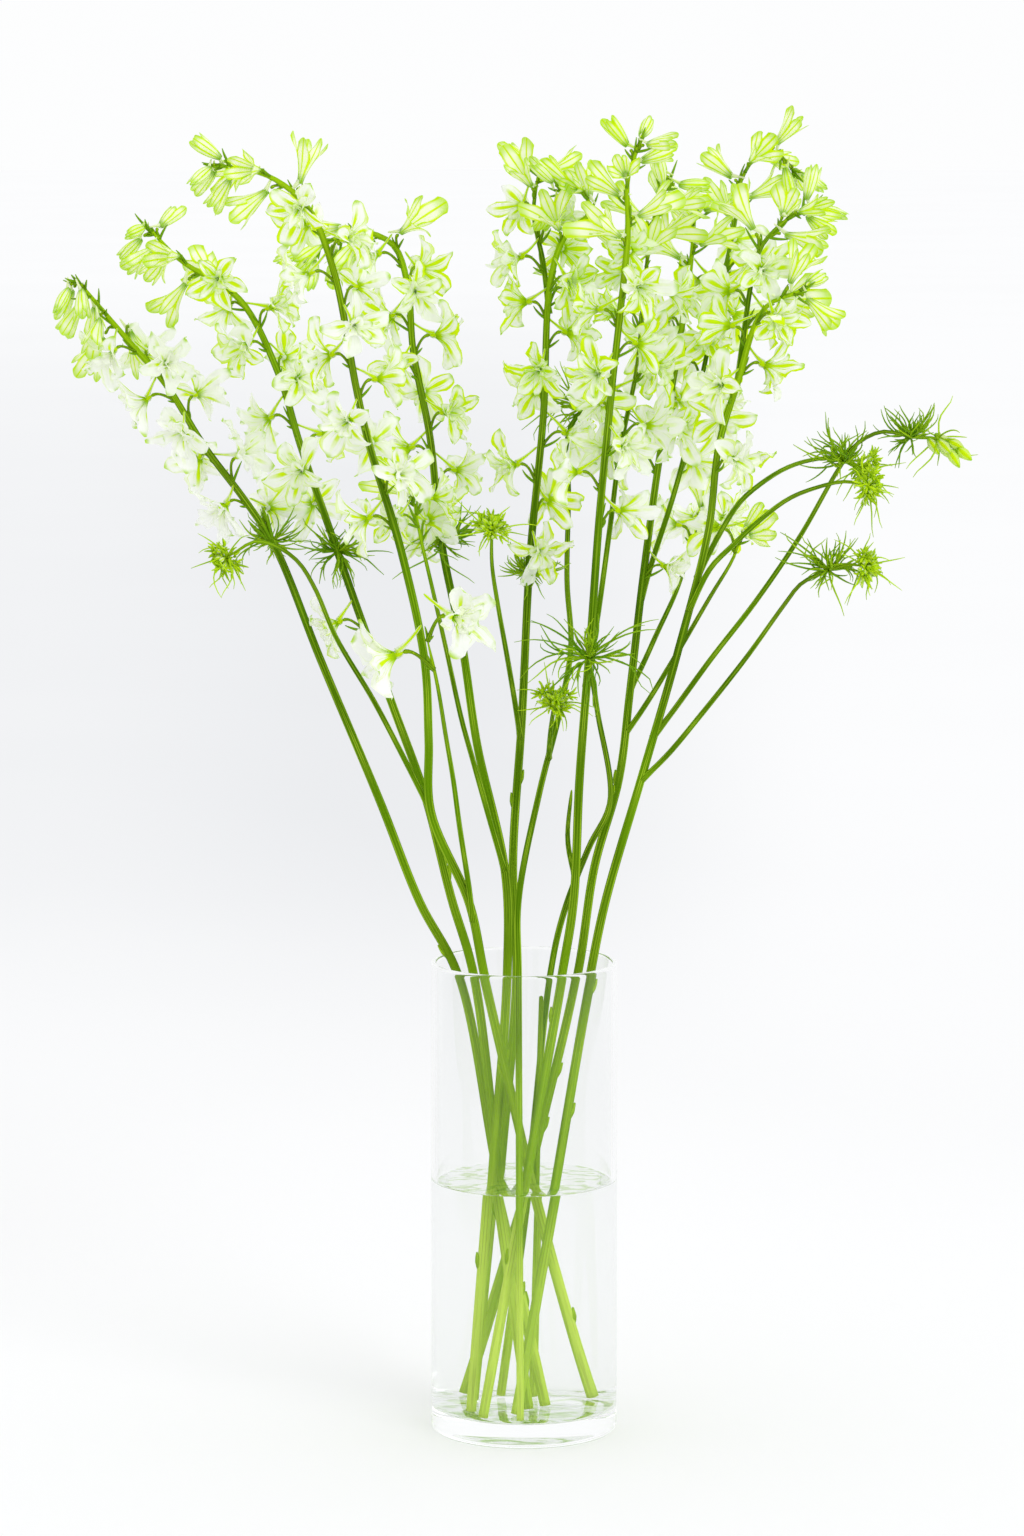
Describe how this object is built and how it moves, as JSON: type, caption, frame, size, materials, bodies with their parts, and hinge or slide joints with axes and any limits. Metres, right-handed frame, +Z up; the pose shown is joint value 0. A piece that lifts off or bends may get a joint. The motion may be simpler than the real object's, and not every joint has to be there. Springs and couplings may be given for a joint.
{
  "type": "vase of cut delphinium (larkspur) stems",
  "caption": "Clear glass cylinder vase with water, holding tall cut larkspur (delphinium) stems with white, lime-tipped flowers, closed buds and feathery thread leaves.",
  "frame": {"origin": "centre of the vase's flat underside, on the vase's axis", "axes": "+Z up along the vase's axis, +X to the right and -Y to the front as the bouquet is seen from its front"},
  "size_m": [0.49, 0.2341, 0.7018],
  "materials": {
    "glass": "clear colourless glass, smooth, with a fire-polished rim",
    "water": "clear still water",
    "stem": "smooth fresh green plant stem, faintly ribbed, satin",
    "petal": "thin white translucent petal with a lime green middle vein and tip",
    "bud": "closed lime green bud, satin",
    "leaf": "thin fresh green thread leaf"
  },
  "bodies": {
    "root": {"vase": "glass", "water": "water", "stem_a": "stem", "stem_b": "stem", "stem_c": "stem", "stem_e": "stem", "stem_d": "stem", "stem_f": "stem", "stem_s": "stem", "stem_g": "stem", "stem_h": "stem", "stem_i": "stem", "stem_stub": "stem"}
  },
  "joints": []
}
